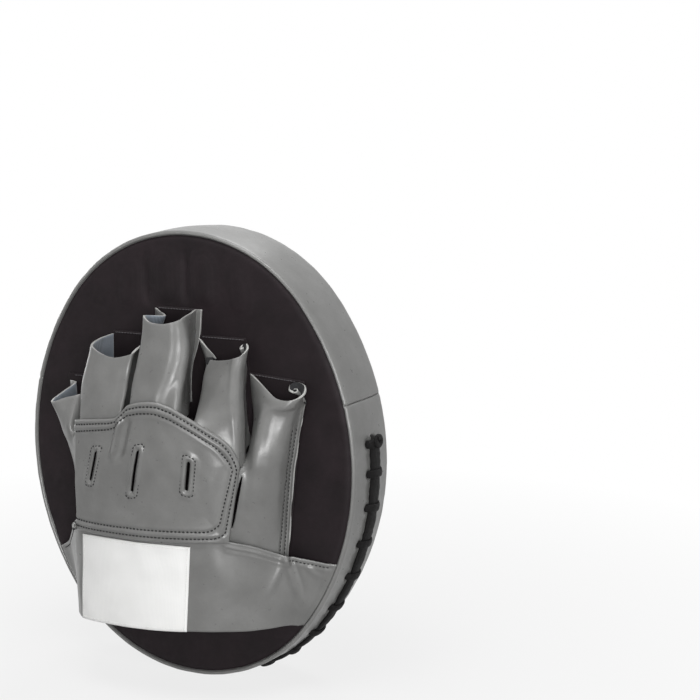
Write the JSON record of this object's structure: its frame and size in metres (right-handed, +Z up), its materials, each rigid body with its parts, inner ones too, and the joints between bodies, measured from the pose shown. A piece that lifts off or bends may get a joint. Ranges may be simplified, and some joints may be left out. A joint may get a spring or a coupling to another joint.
{
  "type": "focus mitt",
  "caption": "Left-hand focus mitt for pad work: an oval padded target with a laced grey vinyl rim, black nylon faces and an open-fingered grey glove on its back",
  "frame": {"origin": "middle of the small flat at the bottom of the rim that the mitt stands on", "axes": "+Z up the height of the oval pad, -Y out of the hand side with the glove, +Y out of the strike face, +X towards the thumb side"},
  "size_m": [0.2152, 0.0918, 0.2535],
  "materials": {
    "grey_vinyl": "soft satin grey vinyl",
    "black_nylon": "smooth coated black nylon",
    "black_lace": "flat woven black lace",
    "target_grey": "matt grey printed vinyl",
    "label_white": "smooth white woven patch",
    "dense_foam": "dense closed-cell foam",
    "soft_foam": "soft open-cell foam"
  },
  "bodies": {
    "root": {"strike_panel": "black_nylon", "target_disc": "target_grey", "back_panel": "black_nylon", "gusset_upper": "grey_vinyl", "gusset_lower": "grey_vinyl", "lace": "black_lace", "strike_foam": "dense_foam", "shock_foam": "soft_foam", "palm_foam": "soft_foam", "palm_lining": "black_nylon", "little_stall": "grey_vinyl", "ring_stall": "grey_vinyl", "middle_stall": "grey_vinyl", "index_stall": "grey_vinyl", "thumb_stall": "grey_vinyl", "dorsal_panel": "grey_vinyl", "wrist_band": "grey_vinyl", "label": "label_white"}
  },
  "joints": []
}
